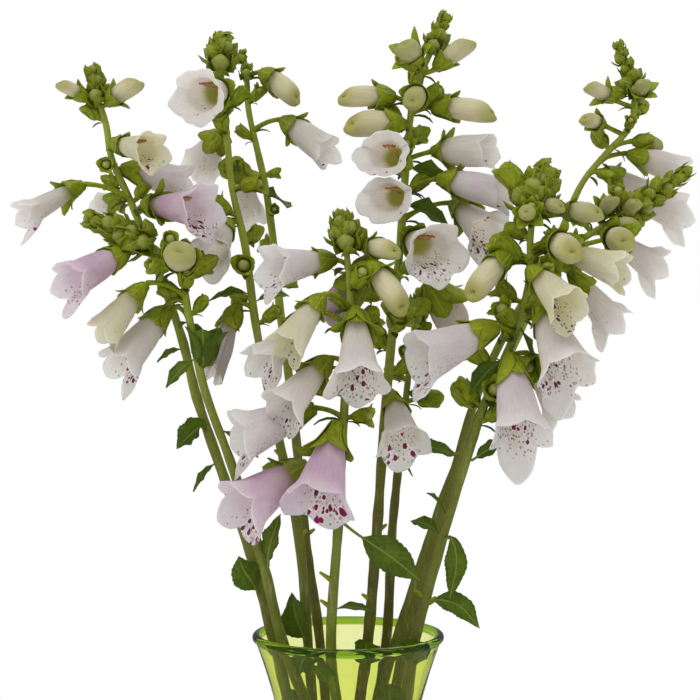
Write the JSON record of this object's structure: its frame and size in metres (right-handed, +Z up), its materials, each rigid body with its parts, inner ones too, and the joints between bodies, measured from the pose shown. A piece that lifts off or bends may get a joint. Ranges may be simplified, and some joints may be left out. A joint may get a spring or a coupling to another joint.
{
  "type": "foxglove flower spikes in a glass vase",
  "caption": "Cut foxglove spikes of hanging spotted bells standing in a flared green glass vase, as a table decoration.",
  "frame": {"origin": "centre of the vase's underside, on the surface that it stands on", "axes": "+Z up; +X to the right and +Y away as the arrangement's front is looked at, so its front faces -Y"},
  "size_m": [0.3728, 0.1474, 0.4887],
  "materials": {
    "vase_glass": "clear, polished",
    "stem_green": "matt, finely ridged, brownish low down",
    "leaf_green": "matt, veined",
    "petal_white": "satin, dark spots inside the lower lip",
    "petal_cream": "satin, spotted inside",
    "petal_blush": "satin, spotted inside",
    "petal_lilac": "satin, spotted inside",
    "petal_dried": "crumpled and withered"
  },
  "bodies": {
    "root": {"vase": "vase_glass", "spike_arching_stem": "stem_green", "spike_back_left_stem": "stem_green", "spike_behind_stem": "stem_green", "spike_centre_stem": "stem_green", "spike_far_left_stem": "stem_green", "spike_far_right_stem": "stem_green", "spike_front_stem": "stem_green", "spike_left_stem": "stem_green", "spike_mid_left_stem": "stem_green", "spike_right_stem": "stem_green", "spike_arching_corolla_1": "petal_white", "spike_arching_corolla_2": "petal_white", "spike_back_left_corolla_1": "petal_white", "spike_behind_corolla_1": "petal_white", "spike_centre_corolla_1": "petal_white", "spike_centre_corolla_2": "petal_white", "spike_centre_corolla_3": "petal_white", "spike_centre_corolla_4": "petal_blush", "spike_centre_corolla_5": "petal_white", "spike_centre_corolla_6": "petal_white", "spike_far_left_corolla_1": "petal_cream", "spike_far_left_corolla_2": "petal_blush", "spike_far_left_corolla_3": "petal_white", "spike_far_left_corolla_4": "petal_white", "spike_far_left_corolla_5": "petal_lilac", "spike_far_right_corolla_1": "petal_white", "spike_far_right_corolla_2": "petal_white", "spike_front_corolla_1": "petal_blush", "spike_front_corolla_2": "petal_cream", "spike_front_corolla_3": "petal_white", "spike_front_corolla_4": "petal_white", "spike_front_corolla_5": "petal_white", "spike_front_corolla_6": "petal_blush", "spike_front_corolla_7": "petal_lilac", "spike_front_corolla_8": "petal_lilac", "spike_left_corolla_1": "petal_lilac", "spike_left_corolla_2": "petal_cream", "spike_left_corolla_3": "petal_white", "spike_mid_left_corolla_1": "petal_white", "spike_mid_left_corolla_2": "petal_white", "spike_mid_left_corolla_3": "petal_white", "spike_mid_left_corolla_4": "petal_white", "spike_mid_left_corolla_5": "petal_dried", "spike_right_corolla_1": "petal_cream", "spike_right_corolla_2": "petal_cream", "spike_right_corolla_3": "petal_white", "spike_right_corolla_4": "petal_white", "spike_right_corolla_5": "petal_blush", "spike_right_corolla_6": "petal_white", "spike_right_corolla_7": "petal_blush", "leaf_broad": "leaf_green", "leaf_clasping": "leaf_green", "leaf_dark": "leaf_green", "leaf_hanging": "leaf_green", "leaf_in_mouth": "leaf_green", "leaf_inner": "leaf_green", "leaf_left": "leaf_green", "leaf_low": "leaf_green", "leaf_right": "leaf_green"}
  },
  "joints": []
}
